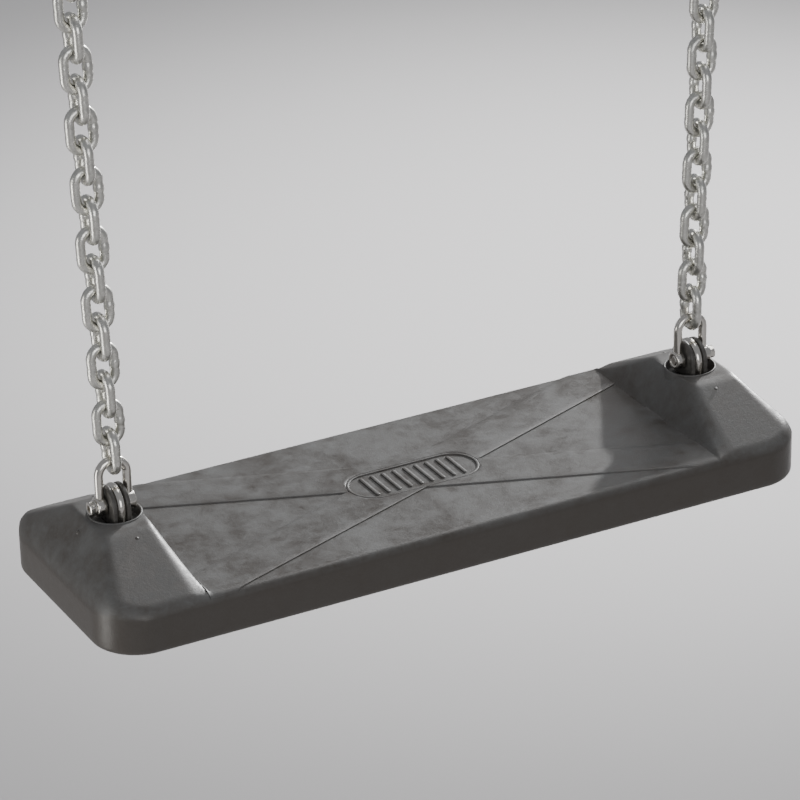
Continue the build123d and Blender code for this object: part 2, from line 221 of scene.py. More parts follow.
def add_piece(name, surfaces, body, material, replaces=(), sharp=35.0, worn=None):
    """One object from closed grids: doubles merged, smooth but for edges over the sharp angle."""
    points, faces = join_surfaces(surfaces)
    mesh = bpy.data.meshes.new(name)
    mesh.from_pydata(points.tolist(), [], faces.tolist())
    if worn is not None:
        mesh.attributes.new("worn", "FLOAT", "POINT").data.foreach_set("value", worn.astype(np.float32))
    work = bmesh.new()
    work.from_mesh(mesh)
    bmesh.ops.remove_doubles(work, verts=work.verts, dist=1e-6)
    bmesh.ops.dissolve_degenerate(work, edges=work.edges, dist=1e-7)
    work.to_mesh(mesh)
    work.free()
    mesh.polygons.foreach_set("use_smooth", np.ones(len(mesh.polygons), bool))
    mesh.set_sharp_from_angle(angle=radians(sharp))
    mesh.materials.append(material)
    piece = bpy.data.objects.new(name, mesh)
    bpy.context.scene.collection.objects.link(piece)
    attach(piece, body)
    if replaces:
        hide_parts(*replaces)
    return piece


def shifted(surface, x=0.0, y=0.0, z=0.0):
    """Every point moved by (x, y, z)."""
    return surface + np.array([x, y, z])


def leaning(angle):
    """Matrix that, after a row of points, tips +Z towards +X by the angle."""
    return np.array([[cos(angle), 0, -sin(angle)], [0, 1, 0], [sin(angle), 0, cos(angle)]])


def mirrored(surface, sx, sy):
    """Every x times sx and every y times sy, each of them 1 or -1."""
    return surface * np.array([sx, sy, 1.0])


def closed_ends(sections):
    """Adds a row at each end with every point in the middle of the end section, which closes a tube."""
    first = np.repeat(sections[:1].mean(1, keepdims=True), sections.shape[1], axis=1)
    last = np.repeat(sections[-1:].mean(1, keepdims=True), sections.shape[1], axis=1)
    return np.concatenate([first, sections, last])


def lathe(radius, height, axis="Z", around=48):
    """Surface of revolution: the point at angle a of row i is (r_i cos a, r_i sin a, h_i).
    radius may be (rows,) or (rows, around), so that a row can be a hexagon. axis names what h runs along."""
    radius = np.asarray(radius, float)
    height = np.asarray(height, float)
    angle = np.linspace(0, 2 * pi, around, endpoint=False)
    if radius.ndim == 1:
        radius = np.repeat(radius[:, None], around, axis=1)
    a, b = radius * np.cos(angle), radius * np.sin(angle)
    h = np.repeat(height[:, None], around, axis=1)
    return np.stack([a, b, h] if axis == "Z" else [h, a, b], axis=-1)


def rounded_loop(corners, radius, steps=5):
    """A closed outline in two coordinates with each corner cut by an arc through step points.
    Each corner point P becomes P + (A - P) w0 + (B - P) w1, a quadratic curve between its two sides."""
    corners = np.asarray(corners, float)
    before = np.roll(corners, 1, axis=0) - corners
    after = np.roll(corners, -1, axis=0) - corners
    reach_before = np.minimum(radius / np.linalg.norm(before, axis=1), 0.49)[:, None, None]
    reach_after = np.minimum(radius / np.linalg.norm(after, axis=1), 0.49)[:, None, None]
    t = np.linspace(0, 1, steps)[None, :, None]
    curve = corners[:, None] + before[:, None] * reach_before * (1 - t) ** 2
    curve = curve + after[:, None] * reach_after * t**2
    return curve.reshape(-1, 2)


def ring_of_revolution(loop, axis="X", around=64):
    """A closed outline of (radius, height) points turned about an axis: a ring with a hole."""
    loop = np.concatenate([loop, loop[:1]])
    return lathe(loop[:, 0], loop[:, 1], axis, around)


def tube(path, normal, radius, around=24):
    """Round bar along a path in a plane. The section at point P is P + r (n cos a + s sin a), where s is
    the plane's normal and n is at right angles to both it and the path's direction."""
    ahead = np.gradient(path, axis=0)
    ahead = ahead / np.linalg.norm(ahead, axis=1, keepdims=True)
    side = np.broadcast_to(np.asarray(normal, float), path.shape)
    across = np.cross(side, ahead)
    angle = np.linspace(0, 2 * pi, around, endpoint=False)
    radius = np.broadcast_to(np.asarray(radius, float), (len(path), around))[..., None]
    spread = across[:, None] * np.cos(angle)[None, :, None] + side[:, None] * np.sin(angle)[None, :, None]
    return path[:, None] + radius * spread


# ---------------------------------------------------------------- board
def soft_min(a, b, blend):
    """The lower of two heights, lowered further by (blend - |a - b|)^2 / (4 blend) where they are close."""
    close = np.maximum(blend - np.abs(a - b), 0)
    return np.minimum(a, b) - close**2 / (4 * blend)


def rim_drop(board, x, y):
    """How far the rounded rim lies under the top, r - sqrt(r^2 - (r - d)^2) at distance d from the wall."""
    flat_x = SEAT_LENGTH / 2 - board.corner_radius
    flat_y = SEAT_DEPTH / 2 - board.corner_radius
    beyond_x = np.maximum(np.abs(x) - flat_x, 0)
    beyond_y = np.maximum(np.abs(y) - flat_y, 0)
    inside = np.clip(board.corner_radius - np.hypot(beyond_x, beyond_y), 0, board.rim_radius)
    r = board.rim_radius
    return r - np.sqrt(np.maximum(r**2 - (r - inside) ** 2, 0))


def board_top(board, x, y):
    """Height of the top before its rim is rounded, and how strongly each point lies on a ridge.
    A shoulder is the lowest of four sloping planes and a flat plateau, and stands on the slab. A soft
    minimum lies a drop d under the planes' minimum, which is h above the slab: the ridges are rounded to
    h^2 / (h + d), so they run out level at the foot. They narrow towards the plateau, and the outer ones
    are half as wide."""
    x, y = np.abs(x), np.abs(y)
    low, high = board.slab_height, board.shoulder_height
    rise = high - low
    end, edge = SEAT_LENGTH / 2, SEAT_DEPTH / 2
    foot = end - board.shoulder_length
    outer = end - board.plateau_from_end
    inner = outer - board.plateau_length
    inner_slope = low + rise * (x - foot) / (inner - foot)
    outer_slope = low + rise * (end - x) / board.plateau_from_end
    side_slope = low + rise * (edge - y) / (edge - board.plateau_depth / 2)
    sharp = np.minimum(np.minimum(inner_slope, outer_slope), side_slope)
    above = np.maximum(sharp - low, 0)
    narrowing = 0.60
    blend = board.ridge_blend * (1 - narrowing * np.clip(above / rise, 0, 1))
    drop = sharp - soft_min(soft_min(inner_slope, side_slope, blend), outer_slope, blend / 2)
    hip = low + above**2 / np.maximum(above + drop, 1e-9)
    hip = soft_min(hip, np.full_like(hip, high), board.plateau_blend)
    worn = np.clip((np.minimum(sharp, high) - hip) / (blend / 4), 0, 1) * (above > 0)
    return hip, worn


def outline(length_m, depth_m, radius, long_steps, short_steps, corner_steps):
    """Rounded rectangle as points and outward normals, counted the same whatever its size.
    Each corner is an arc of the radius round a point set in from both sides; straight runs join them."""
    cx, cy = length_m / 2 - radius, depth_m / 2 - radius
    angle = np.linspace(0, pi / 2, corner_steps + 1)
    points, normals = [], []
    for quarter, (sx, sy, steps) in enumerate(((1, -1, short_steps), (1, 1, long_steps),
                                               (-1, 1, short_steps), (-1, -1, long_steps))):
        a = angle + (quarter - 1) * pi / 2
        normal = np.stack([np.cos(a), np.sin(a)], axis=-1)
        arc = np.array([sx * cx, sy * cy]) + radius * normal
        following = np.array([(cx, cy), (-cx, cy), (-cx, -cy), (cx, -cy)][quarter]) + radius * normal[-1]
        t = np.linspace(0, 1, steps, endpoint=False)[1:, None]
        points += [arc, arc[-1] + (following - arc[-1]) * t]
        normals += [normal, np.repeat(normal[-1:], steps - 1, axis=0)]
    return np.concatenate(points), np.concatenate(normals)


def press_circle(surface, centre_x, radius, reach, height):
    """Moves points near a circle onto it, and sets the height of the points inside it."""
    offset = surface[..., :2] - np.array([centre_x, 0.0])
    distance = np.hypot(offset[..., 0], offset[..., 1])
    near = np.abs(distance - radius) < reach
    scale = np.where(near, radius / np.maximum(distance, 1e-9), 1.0)[..., None]
    surface[..., :2] = np.array([centre_x, 0.0]) + offset * scale
    surface[..., 2] = np.where(distance < radius - reach, height, surface[..., 2])
    return surface


def board_shell(board):
    """The whole board as one closed grid. Its columns follow the rounded outline; its rows run from the
    middle of the sole out to the lower rim, up the wall, over the upper rim and in to the middle line."""
    counts = (250, 62, 22)
    wall, normal = outline(SEAT_LENGTH, SEAT_DEPTH, board.corner_radius, *counts)
    panel, panel_normal = outline(*PANEL_SIZE, board.corner_radius, *counts)
    spine_reach = SEAT_LENGTH / 2 - SEAT_DEPTH / 2
    spine = np.stack([np.clip(wall[:, 0], -spine_reach, spine_reach), np.zeros(len(wall))], axis=-1)

    def level(plan, z):
        """A row of plan points at one height, or at a height each."""
        return np.concatenate([plan, np.full((len(plan), 1), z) if np.isscalar(z) else z[:, None]], axis=-1)

    rows = [level(spine, PANEL_RECESS)]
    for inset, z in ((0.002, PANEL_RECESS), (0.0008, PANEL_RECESS), (0.0, 0.0005), (-0.0004, 0.0)):
        rows.append(level(panel - panel_normal * inset, z))
    sole_edge = wall - normal * board.sole_radius
    for t in np.linspace(0, 1, 44)[1:]:
        rows.append(level(panel + (sole_edge - panel) * t, 0.0))
    for a in np.linspace(0, pi / 2, 7)[1:]:
        rows.append(level(sole_edge + normal * board.sole_radius * sin(a), board.sole_radius * (1 - cos(a))))
    wall_top = board_top(board, wall[:, 0], wall[:, 1])[0] - board.rim_radius
    for t in np.linspace(0, 1, 6)[1:]:
        rows.append(level(wall, board.sole_radius + (wall_top - board.sole_radius) * t))
    for a in np.linspace(0, pi / 2, 10)[1:]:
        plan = wall - normal * board.rim_radius * (1 - cos(a))
        height = board_top(board, plan[:, 0], plan[:, 1])[0] - board.rim_radius * (1 - sin(a))
        rows.append(level(plan, height))
    rim = wall - normal * board.rim_radius
    for t in np.linspace(0, 1, 56)[1:]:
        plan = rim + (spine - rim) * t
        rows.append(level(plan, board_top(board, plan[:, 0], plan[:, 1])[0]))
    shell = np.stack(rows)
    upper = shell[..., 2] > board.slab_height / 2
    worn = board_top(board, shell[..., 0], shell[..., 1])[1] * upper
    sole_part, top_part = shell[:50], shell[60:]  # the wall's rows lie between them
    lip_middle, under_floor, cup_reach, plug_reach = 0.0007, 0.003, 0.0009, 0.0010
    ring, pit = board.cup_radius + lip_middle, board.cup_floor - under_floor
    for side in SIDES.values():
        press_circle(top_part, side * EYE_X, ring, cup_reach, pit)
        press_circle(sole_part, side * EYE_X, PLUG_HOLE_RADIUS, plug_reach, PLUG_HOLE_TOP)
    return shell, worn.ravel()


def cup_lining(board):
    """Wall, floor and rounded lip of a cup, turned about the upright axis."""
    r, floor, top = board.cup_radius, board.cup_floor, board.shoulder_height
    lip_height, foot_radius, floor_thickness = 0.0008, 0.0015, 0.002
    lip = np.linspace(0, pi, 9)
    half = board.lip_width / 2
    lip_r = r + half - half * np.cos(lip)
    lip_z = top + lip_height * np.sin(lip)
    bend = np.linspace(0, pi / 2, 6)
    foot_r = r - foot_radius + foot_radius * np.sin(bend)
    foot_z = floor + foot_radius - foot_radius * np.cos(bend)
    wall_r = np.concatenate([[0.0], foot_r, lip_r, [r + board.lip_width, 0.0]])
    wall_z = np.concatenate([[floor], foot_z, lip_z, [floor - floor_thickness] * 2])
    return lathe(wall_r, wall_z, "Z", 72)


def low_side(x):
    """Inner edge of a grip arm: round the oval first, then a straight line away from the middle line."""
    straight = OVAL_HALF_LENGTH - OVAL_HALF_WIDTH
    round_end = np.sqrt(np.maximum(OVAL_HALF_WIDTH**2 - np.maximum(x - straight, 0) ** 2, 0))
    return np.maximum(round_end, ARM_INNER_SLOPE * (x - ARM_NOTCH_X))


def grip_arm(board):
    """A low raised band whose section is a rounded step: (across, above) points carried along x, with
    y from the band's inner edge to its outer edge and z measured from the board's own top."""
    tuck, inset_from_wall, widest_step = 0.0015, 0.0015, 0.0007
    x = np.linspace(0.0, SEAT_LENGTH / 2 - board.shoulder_length + tuck, 130)
    inner = low_side(x)
    outer = np.minimum(ARM_OUTER_START + ARM_OUTER_SLOPE * x, SEAT_DEPTH / 2 - inset_from_wall)
    step = np.minimum(widest_step, (outer - inner) / 2.2)
    up = board.relief
    above = STEP_LIFT * up
    near = inner[:, None] + step[:, None] * STEP_INSET
    far = outer[:, None] - step[:, None] * STEP_INSET[::-1]
    t = np.linspace(0, 1, 9)[1:-1]
    between = near[:, -1:] + (far[:, :1] - near[:, -1:]) * t
    under = outer[:, None] + (inner - outer)[:, None] * t
    y = np.concatenate([near, between, far, under], axis=1)
    lift = np.concatenate([above, np.full(7, up), above[::-1], np.full(7, above[0])])
    xx = np.repeat(x[:, None], y.shape[1], axis=1)
    z = board_top(board, xx, y)[0] - rim_drop(board, xx, y) + lift
    return closed_ends(np.stack([xx, y, z], axis=-1))


def stadium(half_length, half_width, steps=24):
    """Outline of two half circles joined by straight runs."""
    centre = half_length - half_width
    a = np.linspace(-pi / 2, pi / 2, steps)
    right = np.stack([centre + half_width * np.cos(a), half_width * np.sin(a)], axis=-1)
    run = np.linspace(0, 1, 12)[1:-1, None]
    top = right[-1] + (np.array([-centre, half_width]) - right[-1]) * run
    left = -right
    bottom = left[-1] + (np.array([centre, -half_width]) - left[-1]) * run
    return np.concatenate([right, top, left, bottom])


def low_mound(half_length, half_width, base, height, step, rim=None):
    """Stadium-shaped step with a rounded shoulder; with rim it is a ring of that width."""
    inset = STEP_INSET * step
    lift = STEP_LIFT * height

    def loop_at(inward, up):
        """The outline moved inwards and raised above the base."""
        plan = stadium(half_length - inward, half_width - inward)
        return np.column_stack([plan, np.full(len(plan), base + up)])

    rows = [loop_at(i, z) for i, z in zip(inset, lift)]
    if rim:
        rows += [loop_at(rim - i, z) for i, z in zip(inset[::-1], lift[::-1])]
        rows.append(rows[0])
        return np.stack(rows)
    spine = rows[0].copy()
    spine[:, 0] = np.clip(spine[:, 0], half_width - half_length, half_length - half_width)
    spine[:, 1] = 0
    bottom, top = spine.copy(), spine.copy()
    bottom[:, 2] = rows[0][0, 2]
    top[:, 2] = base + height
    return np.stack([bottom] + rows + [top])


def sphere(radius, rows=10, around=16):
    """Ball: at latitude a its section has the radius r cos a and the height r sin a."""
    a = np.linspace(-pi / 2, pi / 2, rows)
    return lathe(radius * np.cos(a), radius * np.sin(a), "Z", around)


def vent_marks(board, side):
    """Small round marks on three slopes of a shoulder, each a ball with only its cap showing."""
    run = (SEAT_DEPTH - board.plateau_depth) / 2
    rise = board.shoulder_height - board.slab_height
    drop, ball, show = 0.0030, 0.0017, 0.0004
    y = board.plateau_depth / 2 + run * drop / rise
    x = SEAT_LENGTH / 2 - board.plateau_from_end + board.plateau_from_end * 2 * drop / rise
    places = [(side * EYE_X, -y), (side * EYE_X, y), (side * x, 0.0)]
    marks = []
    for px, py in places:
        top = board_top(board, np.array([px]), np.array([py]))[0][0]
        marks.append(shifted(sphere(ball), px, py, top + show - ball))
    return marks


# ---------------------------------------------------------------- metal pieces
def link_surface(metal, number):
    """Chain link in the XZ plane. Its path is two half circles joined by straight legs; the wire's radius
    swells by exp(-(s/w)^4) round the weld, and by a few slow sines for the uneven zinc."""
    bow = LINK_WIDTH / 2 - WIRE_RADIUS
    leg = LINK_INSIDE_LENGTH + 2 * WIRE_RADIUS - 2 * bow
    arc = np.linspace(0, pi, 25)
    run = np.linspace(-leg / 2, leg / 2, 13)[1:-1]
    upper = np.stack([bow * np.cos(arc), leg / 2 + bow * np.sin(arc)], axis=-1)
    left_leg = np.stack([np.full(11, -bow), run[::-1]], axis=-1)
    right_leg = np.stack([np.full(11, bow), run], axis=-1)
    plan = np.concatenate([upper, left_leg, -upper, right_leg])
    path = np.stack([plan[:, 0], np.zeros(len(plan)), plan[:, 1]], axis=-1)
    path = np.concatenate([path[-1:], path, path[:2]])
    rng = np.random.default_rng(number)
    around = 24
    angle = np.linspace(0, 2 * pi, around, endpoint=False)
    along = np.linspace(0, 2 * pi, len(path))[:, None]
    uneven = sum(rng.uniform(-1, 1) * np.sin(m * along + n * angle + rng.uniform(0, 2 * pi))
                 for m, n in ((5, 1), (9, 2), (14, 1), (21, 3)))
    weld_half, groove_at, groove_half, far_away = 0.0021, 0.0032, 0.0007, 0.05
    from_weld = np.abs(path[:, 2]) + far_away * (path[:, 0] < 0)
    swell = metal.weld_swell * np.exp(-((from_weld / weld_half) ** 4))
    groove = 0.4 * metal.weld_swell * np.exp(-(((from_weld - groove_at) / groove_half) ** 2))
    radius = WIRE_RADIUS + (swell - groove)[:, None] + metal.dent * uneven
    surface = tube(path, (0, 1, 0), radius, around)[1:-1]
    surface[-1] = surface[0]
    return surface


def bow_surfaces():
    """Shackle bow above its pin: a bar up one leg, round a half circle and down the other, and a round
    boss with a bore at each foot."""
    arc = np.linspace(0, pi, 33)
    leg_x = SHACKLE_LEG_X
    straight = SHACKLE_HEIGHT - leg_x
    run = np.linspace(0, 1, 9)[:-1, None]
    curve = np.stack([leg_x * np.cos(arc), np.zeros(33), straight + leg_x * np.sin(arc)], axis=-1)
    up = np.array([leg_x, 0, 0.0]) + run * np.array([0, 0, straight])
    down = np.array([-leg_x, 0, 0.0]) + run[::-1] * np.array([0, 0, straight])
    bar_surface = closed_ends(tube(np.concatenate([up, curve, down]), (0, 1, 0), SHACKLE_BAR, 28))
    corners = [(BOSS_BORE, BOSS_INNER_X), (BOSS_RADIUS, BOSS_INNER_X), (BOSS_RADIUS, BOSS_OUTER_X),
               (BOSS_BORE, BOSS_OUTER_X)]
    edge_radius = 0.0011
    boss = ring_of_revolution(rounded_loop(corners, edge_radius), "X", 56)
    return [bar_surface, boss, boss * np.array([-1.0, 1, 1])]


def hexagon(flats, around):
    """Radius of a hexagon at each angle: half the flats over the cosine of the angle to the nearest flat."""
    angle = np.linspace(0, 2 * pi, around, endpoint=False)
    return flats / 2 / np.cos((angle + pi / 6) % (pi / 3) - pi / 6)


def pin_surface(side):
    """Pin turned about X: plain rod, round collar, hexagon head with cut corners, and a hexagon socket. Each
    row is a radius, which may change round the pin, and a place along it."""
    around = 72
    collar, head_corner, chamfer = 0.0047, 0.00448, 0.0005
    start = BOSS_OUTER_X + 0.0014
    end = start + 0.0029
    socket_floor = end - 0.0022
    six = hexagon(0.008, around)
    socket = hexagon(0.004, around)
    rod_rows = [(0, -BOSS_OUTER_X), (PIN_RADIUS - chamfer, -BOSS_OUTER_X),
                (PIN_RADIUS, -BOSS_OUTER_X + chamfer), (PIN_RADIUS, BOSS_OUTER_X)]
    collar_rows = [(collar - 0.0003, BOSS_OUTER_X), (collar, BOSS_OUTER_X + 0.0003), (collar, start - 0.0007),
                   (collar - 0.00025, start - 0.0002), (collar - 0.0008, start)]
    head_rows = [(np.minimum(six, 0.0042), start), (np.minimum(six, head_corner), start + 0.0003),
                 (np.minimum(six, head_corner), end - 0.0006), (np.minimum(six, 0.0041), end - 0.0002),
                 (np.minimum(six, 0.0037), end)]
    socket_rows = [(socket + 0.0002, end), (socket, end - 0.0002), (socket, socket_floor), (0, socket_floor)]
    rows = rod_rows + collar_rows + head_rows + socket_rows
    radius = np.stack([np.ones(around) * r for r, _ in rows])
    surface = lathe(radius, [x for _, x in rows], "X", around)
    return surface * np.array([float(side), 1, 1])


def eye_surfaces(board):
    """Round-bar loop whose legs run straight down from the pin's height, and its shank: neck, cone,
    straight shank and collar about Z. The loop's path is a half circle with a leg at each end."""
    reach = EYE_RADIUS - EYE_BAR
    leg = np.linspace(-(PIN_Z - board.cup_floor + 0.001), 0, 9)[:-1]
    arc = np.linspace(0, pi, 49)
    y = np.concatenate([np.full(8, reach), reach * np.cos(arc), np.full(8, -reach)])
    z = np.concatenate([leg, reach * np.sin(arc), leg[::-1]])
    loop = closed_ends(tube(np.stack([np.zeros(len(y)), y, z], axis=-1), (1, 0, 0), EYE_BAR, 32))
    foot = PIN_Z - EYE_RADIUS
    neck, shank, collar = 0.0025, 0.005, 0.008
    collar_top, collar_bottom, chamfer, tip = 0.023, 0.020, 0.0008, 0.0054
    radius = [0, neck, neck, shank, shank, collar, collar, shank, shank, shank - chamfer, 0]
    height = [foot + EYE_BAR, foot + EYE_BAR, foot, foot - EYE_BAR, collar_top, collar_top, collar_bottom,
              collar_bottom, tip + chamfer, tip, tip]
    return [shifted(loop, z=PIN_Z), lathe(radius, height, "Z", 48)]


def bush_surfaces(flanks):
    """Two flanged sleeves, mirror images, each a closed outline turned about X. With flanks the flange's
    lower half has straight sides: at angle a its radius is divided by (|cos a|^n + |sin a|^n)^(1/n)."""
    half_gap, edge_radius = 0.00005, 0.0007
    bore, sleeve, flange = BUSH_BORE, BUSH_SLEEVE_RADIUS, BUSH_FLANGE_RADIUS
    inner, outer = BUSH_FLANGE_INNER_X, BUSH_FLANGE_OUTER_X
    corners = [(bore, half_gap), (sleeve, half_gap), (sleeve, inner), (flange, inner), (flange, outer),
               (bore, outer)]
    loop = rounded_loop(corners, edge_radius, 4)
    loop = np.concatenate([loop, loop[:1]])
    around, power = 72, 9.0
    angle = np.linspace(0, 2 * pi, around, endpoint=False)
    square = (np.abs(np.cos(angle)) ** power + np.abs(np.sin(angle)) ** power) ** (-1 / power)
    widened = np.where((np.sin(angle) < 0) & flanks, square, 1.0)
    share = np.clip((loop[:, :1] - sleeve) / (flange - sleeve), 0, 1)
    half = lathe(loop[:, :1] * (1 + share * (widened - 1)), loop[:, 1], "X", around)
    return [half, half * np.array([-1.0, 1, 1])]


# ---------------------------------------------------------------- node helpers
def put(tree, kind, **settings):
    """Adds a node. A key that is one of its sockets sets that socket, and any other key its attribute."""
    node = tree.nodes.new(kind)
    for key, value in settings.items():
        socket = key.replace("_", " ")
        if socket in node.inputs:
            if hasattr(value, "is_output"):
                tree.links.new(value, node.inputs[socket])
            else:
                node.inputs[socket].default_value = value
        else:
            setattr(node, key, value)
    return node


def maths(tree, operation, *values):
    """A Math node: each value is a number or another node's output."""
    node = tree.nodes.new("ShaderNodeMath")
    node.operation = operation
    for socket, value in zip(node.inputs, values):
        if hasattr(value, "is_output"):
            tree.links.new(value, socket)
        else:
            socket.default_value = value
    return node.outputs[0]


def ramp(tree, value, low, high, to_low=0.0, to_high=1.0):
    """Maps a value smoothly from one range to another and keeps it inside."""
    node = put(tree, "ShaderNodeMapRange", interpolation_type="SMOOTHSTEP", Value=value)
    for socket, number in zip(("From Min", "From Max", "To Min", "To Max"), (low, high, to_low, to_high)):
        node.inputs[socket].default_value = number
    return node.outputs["Result"]


def blend_colours(tree, mask, first, second):
    """The first colour where the mask is 0 and the second where it is 1."""
    node = tree.nodes.new("ShaderNodeMix")
    node.data_type = "RGBA"
    tree.links.new(mask, node.inputs["Factor"])
    for socket, value in ((node.inputs[6], first), (node.inputs[7], second)):
        if hasattr(value, "is_output"):
            tree.links.new(value, socket)
        else:
            socket.default_value = (*value, 1.0)
    return node.outputs[2]


def new_group(name, inputs, output):
    """An empty node group with a vector input, named number inputs with defaults, and one output."""
    tree = bpy.data.node_groups.new(name, "ShaderNodeTree")
    tree.interface.new_socket(name="Vector", in_out="INPUT", socket_type="NodeSocketVector")
    for label, default in inputs.items():
        socket = tree.interface.new_socket(name=label, in_out="INPUT", socket_type="NodeSocketFloat")
        socket.default_value = default
    tree.interface.new_socket(name=output, in_out="OUTPUT", socket_type="NodeSocketFloat")
    return tree, tree.nodes.new("NodeGroupInput"), tree.nodes.new("NodeGroupOutput")


def cloud_group():
    """Soft patches: a broad noise bent by a finer one, stretched between dark and light."""
    tree, given, result = new_group("cloudy_patches", {"Scale": 20.0, "Contrast": 0.25}, "Mask")
    finer = maths(tree, "MULTIPLY", given.outputs["Scale"], 3.7)
    broad = put(tree, "ShaderNodeTexNoise", Vector=given.outputs["Vector"], Scale=given.outputs["Scale"],
                Detail=4.0, Roughness=0.6, Distortion=0.6)
    fine = put(tree, "ShaderNodeTexNoise", Vector=given.outputs["Vector"], Scale=finer,
               Detail=6.0, Roughness=0.65)
    mixed = maths(tree, "ADD", maths(tree, "MULTIPLY", broad.outputs[0], 0.65),
                  maths(tree, "MULTIPLY", fine.outputs[0], 0.35))
    low = maths(tree, "SUBTRACT", 0.5, given.outputs["Contrast"])
    span = maths(tree, "MULTIPLY", given.outputs["Contrast"], 2.0)
    mask = maths(tree, "DIVIDE", maths(tree, "SUBTRACT", mixed, low), span)
    clamp = put(tree, "ShaderNodeClamp", Value=mask)
    tree.links.new(clamp.outputs[0], result.inputs["Mask"])
    return tree


def grain_group():
    """Fine height: small noise with a sprinkle of pits."""
    tree, given, result = new_group("fine_grain", {"Scale": 1500.0, "Pits": 0.3}, "Height")
    noise = put(tree, "ShaderNodeTexNoise", Vector=given.outputs["Vector"], Scale=given.outputs["Scale"],
                Detail=5.0, Roughness=0.6)
    coarse = maths(tree, "MULTIPLY", given.outputs["Scale"], 0.22)
    cells = put(tree, "ShaderNodeTexVoronoi", Vector=given.outputs["Vector"], Scale=coarse)
    pit = ramp(tree, cells.outputs["Distance"], 0.05, 0.28, 1.0, 0.0)
    height = maths(tree, "SUBTRACT", noise.outputs[0], maths(tree, "MULTIPLY", pit, given.outputs["Pits"]))
    tree.links.new(height, result.inputs["Height"])
    return tree


def scratch_group():
    """Thin marks: a noise stretched along one direction and cut off sharply."""
    tree, given, result = new_group("thin_scratches", {"Scale": 60.0, "Turn": 0.5, "Amount": 0.5}, "Mask")
    turned = put(tree, "ShaderNodeVectorRotate", rotation_type="Z_AXIS", Vector=given.outputs["Vector"],
                 Angle=given.outputs["Turn"])
    squeeze = put(tree, "ShaderNodeVectorMath", operation="MULTIPLY")
    tree.links.new(turned.outputs[0], squeeze.inputs[0])
    squeeze.inputs[1].default_value = (1.0, 24.0, 6.0)
    noise = put(tree, "ShaderNodeTexNoise", Vector=squeeze.outputs[0], Scale=given.outputs["Scale"],
                Detail=3.0, Roughness=0.5)
    line = ramp(tree, noise.outputs[0], 0.64, 0.72)
    mask = maths(tree, "MULTIPLY", line, given.outputs["Amount"])
    tree.links.new(mask, result.inputs["Mask"])
    return tree


def use_group(tree, group, vector, **values):
    """Places a node group with its own values and gives its one output."""
    node = tree.nodes.new("ShaderNodeGroup")
    node.node_tree = group
    tree.links.new(vector, node.inputs["Vector"])
    for key, value in values.items():
        node.inputs[key].default_value = value
    return node.outputs[0]


def blank_material(name):
    """A new material, its tree, its shader and the piece's own coordinates."""
    material = bpy.data.materials.new(name)
    material.use_nodes = True
    tree = material.node_tree
    shader = tree.nodes["Principled BSDF"]
    place = put(tree, "ShaderNodeTexCoord").outputs["Object"]
    return material, tree, shader, place


def bump(tree, shader, height, strength, distance):
    """Turns a height into small unevenness of the shader's normal."""
    node = put(tree, "ShaderNodeBump", Strength=strength, Distance=distance, Height=height)
    tree.links.new(node.outputs[0], shader.inputs["Normal"])


# ---------------------------------------------------------------- finishes
def rubber_material(board, groups):
    """Moulded rubber: clean and dark on the walls, greyed in cloudy patches on top, rubbed on its ridges."""
    material, tree, shader, place = blank_material("moulded_rubber")
    cloud = use_group(tree, groups["cloud"], place, Scale=26.0, Contrast=0.11)
    speck = use_group(tree, groups["cloud"], place, Scale=130.0, Contrast=0.12)
    grain = use_group(tree, groups["grain"], place, Scale=1300.0, Pits=0.25)
    marks = use_group(tree, groups["scratch"], place, Scale=28.0, Turn=0.35, Amount=0.55)
    height = put(tree, "ShaderNodeSeparateXYZ", Vector=place).outputs["Z"]
    on_top = ramp(tree, height, board.slab_height - 0.005, board.slab_height, 0.12, 1.0)
    worn = put(tree, "ShaderNodeAttribute", attribute_name="worn").outputs["Fac"]
    patches = maths(tree, "ADD", maths(tree, "MULTIPLY", cloud, 0.55), maths(tree, "MULTIPLY", speck, 0.32))
    patches = maths(tree, "ADD", patches, maths(tree, "MULTIPLY", marks, 0.35))
    patches = maths(tree, "MULTIPLY", patches, on_top)
    patches = maths(tree, "ADD", patches, maths(tree, "MULTIPLY", worn, 0.12))
    tint = blend_colours(tree, patches, tuple(board.rubber), tuple(board.dusty))
    tree.links.new(tint, shader.inputs["Base Color"])
    dullness = maths(tree, "SUBTRACT", patches, maths(tree, "MULTIPLY", worn, 0.5))
    tree.links.new(ramp(tree, dullness, -0.4, 1.0, 0.27, 0.58), shader.inputs["Roughness"])
    relief = maths(tree, "ADD", grain, maths(tree, "MULTIPLY", speck, 0.6))
    bump(tree, shader, relief, 0.35, 0.00025)
    return material


def zinc_material(metal, groups):
    """Hot-dip zinc: metal with dull and bright grains, small lumps and rubbed spots."""
    material, tree, shader, place = blank_material("galvanised_steel")
    cells = put(tree, "ShaderNodeTexVoronoi", Vector=place, Scale=420.0)
    tone = put(tree, "ShaderNodeSeparateColor", Color=cells.outputs["Color"]).outputs[0]
    cloud = use_group(tree, groups["cloud"], place, Scale=170.0, Contrast=0.2)
    grain = use_group(tree, groups["grain"], place, Scale=1900.0, Pits=0.5)
    mask = maths(tree, "ADD", maths(tree, "MULTIPLY", tone, 0.35), maths(tree, "MULTIPLY", cloud, 0.65))
    tint = blend_colours(tree, mask, tuple(metal.zinc_dark), tuple(metal.zinc_light))
    tree.links.new(tint, shader.inputs["Base Color"])
    tree.links.new(ramp(tree, mask, 0.0, 1.0, 0.40, 0.20), shader.inputs["Roughness"])
    shader.inputs["Metallic"].default_value = 1.0
    lumps = maths(tree, "ADD", maths(tree, "MULTIPLY", cloud, 1.6), maths(tree, "MULTIPLY", grain, 0.5))
    bump(tree, shader, lumps, 0.26, 0.0003)
    return material


